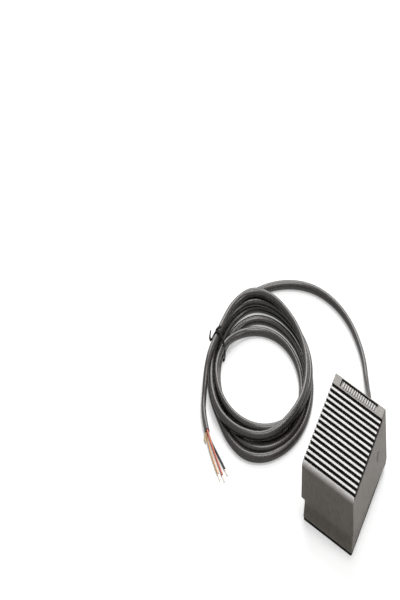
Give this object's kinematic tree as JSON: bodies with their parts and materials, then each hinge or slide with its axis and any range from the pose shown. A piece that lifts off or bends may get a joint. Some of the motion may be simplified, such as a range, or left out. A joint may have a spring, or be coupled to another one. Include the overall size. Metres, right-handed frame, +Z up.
{
  "type": "foot switch",
  "caption": "Compact electric foot switch: ribbed metal pedal cover hinged on a base with a rubber pad, with a coiled cord that ends in stripped conductors.",
  "frame": {"origin": "on the floor under the middle of the switch, without its cord", "axes": "+X across the width, +Y from the toe end to the heel end where the cord leaves, +Z up"},
  "size_m": [0.2336, 0.2264, 0.0404],
  "materials": {
    "cover_enamel": "satin grey enamel on a die casting, finely textured",
    "base_enamel": "satin dark grey enamel on a die casting",
    "pad_rubber": "matte black non-slip rubber",
    "bright_steel": "dull plated steel",
    "spring_steel": "bright spring steel",
    "switch_black": "moulded black phenolic",
    "blade_brass": "plain brass",
    "tinned_brass": "tinned brass",
    "zinc_plate": "zinc plated steel",
    "relief_rubber": "satin dark grey moulded PVC",
    "cord_jacket": "satin dark grey PVC jacket",
    "tie_plastic": "black coated wire tie",
    "black_insulation": "black PVC insulation",
    "red_insulation": "red PVC insulation",
    "tan_insulation": "light brown PVC insulation",
    "bare_copper": "tinned copper strands",
    "button_red": "moulded nylon plunger"
  },
  "bodies": {
    "base": {"base_shell": "base_enamel", "base_pad": "pad_rubber", "hinge_pin": "bright_steel", "pin_cap": "bright_steel", "return_spring": "spring_steel", "switch_case": "switch_black", "switch_cover": "switch_black", "terminal_common": "blade_brass", "terminal_open": "blade_brass", "terminal_closed": "blade_brass", "push_on_connectors": "tinned_brass", "switch_bracket": "zinc_plate", "switch_screws": "zinc_plate", "switch_nuts": "zinc_plate", "bracket_screws": "zinc_plate", "clamp_screws": "zinc_plate", "cord_clamp": "zinc_plate", "strain_relief": "relief_rubber", "lead_common": "black_insulation", "lead_open": "red_insulation", "lead_closed": "tan_insulation", "cord_run": "cord_jacket", "cord_coil": "cord_jacket", "cord_tail": "cord_jacket", "cord_tie": "tie_plastic", "wire_tan": "tan_insulation", "wire_red": "red_insulation", "wire_black": "black_insulation", "bare_tips": "bare_copper"},
    "cover": {"pedal_cover": "cover_enamel"},
    "lever": {"switch_lever": "spring_steel"},
    "button": {"switch_button": "button_red"}
  },
  "joints": [
    {"name": "pedal_hinge", "type": "hinge", "parent": "base", "child": "cover", "pos_m": [0, 0.023, 0.0225], "axis": [1, 0, 0], "range_deg": [0, 4], "stiffness_Nm_per_rad": 3, "springref_deg": -6.88, "deforming": ["return_spring"]},
    {"name": "lever_hinge", "type": "hinge", "parent": "base", "child": "lever", "pos_m": [-0.001, 0.01, 0.0282], "axis": [1, 0, 0], "range_deg": [0, 6.8]},
    {"name": "button_slide", "type": "slide", "parent": "base", "child": "button", "axis": [0, 0, -1], "range_m": [0, 0.00085]}
  ],
  "couplings": [
    {"joint": "lever_hinge", "follows": "pedal_hinge", "ratio": 1.6667},
    {"joint": "button_slide", "follows": "pedal_hinge", "m_per_rad": 0.01146}
  ]
}
